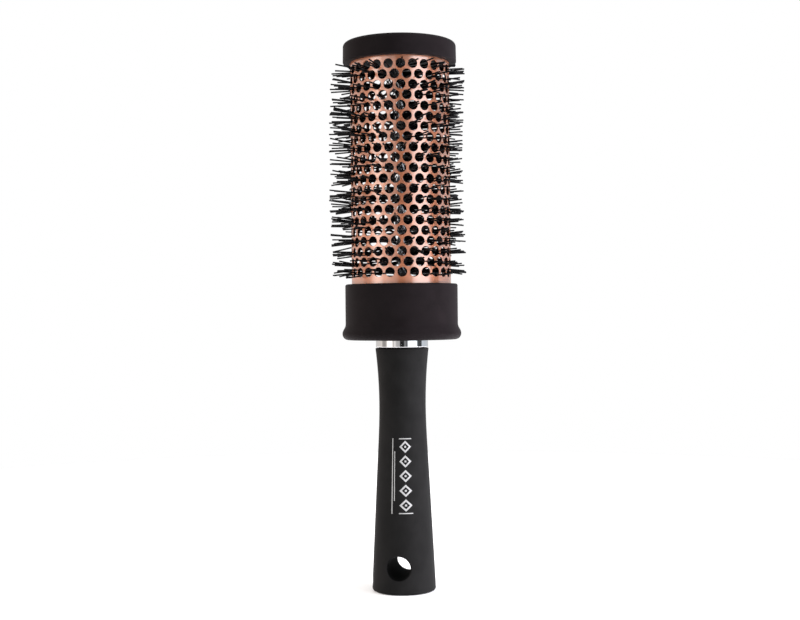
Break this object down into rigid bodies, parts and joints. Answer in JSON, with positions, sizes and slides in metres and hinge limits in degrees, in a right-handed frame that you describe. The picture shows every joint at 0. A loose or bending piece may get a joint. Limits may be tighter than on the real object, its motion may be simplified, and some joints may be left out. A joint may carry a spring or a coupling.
{
  "type": "round barrel brush",
  "caption": "Salon round brush: copper-coloured perforated barrel with nylon bristles, black soft-touch cap, collar and tapered handle with a hanging hole, chrome ring.",
  "frame": {"origin": "centre of the handle's flat end", "axes": "+Z along the brush's axis, towards the end cap; the hanging hole runs along Y"},
  "size_m": [0.06, 0.0591, 0.2367],
  "materials": {
    "soft_touch": "rubberised soft-touch coating, fine-grained satin",
    "hard_plastic": "plain moulded",
    "chrome": "polished",
    "copper_barrel": "copper-coloured anodised, satin",
    "steel_wire": "drawn wire, galvanised",
    "nylon": "smooth nylon filament"
  },
  "bodies": {
    "root": {"handle_grip": "soft_touch", "stem_and_hub": "hard_plastic", "chrome_ring": "chrome", "lower_collar": "soft_touch", "barrel_tube": "copper_barrel", "end_hub": "hard_plastic", "end_cap": "soft_touch", "core_wire_1": "steel_wire", "core_wire_2": "steel_wire", "bristle_row_01": "nylon", "bristle_row_02": "nylon", "bristle_row_03": "nylon", "bristle_row_04": "nylon", "bristle_row_05": "nylon", "bristle_row_06": "nylon", "bristle_row_07": "nylon", "bristle_row_08": "nylon", "bristle_row_09": "nylon", "bristle_row_10": "nylon", "bristle_row_11": "nylon", "bristle_row_12": "nylon", "bristle_row_13": "nylon", "bristle_row_14": "nylon", "bristle_row_15": "nylon", "bristle_row_16": "nylon", "bristle_row_17": "nylon", "bristle_row_18": "nylon", "bristle_row_19": "nylon", "bristle_row_20": "nylon", "bristle_row_21": "nylon"}
  },
  "joints": []
}
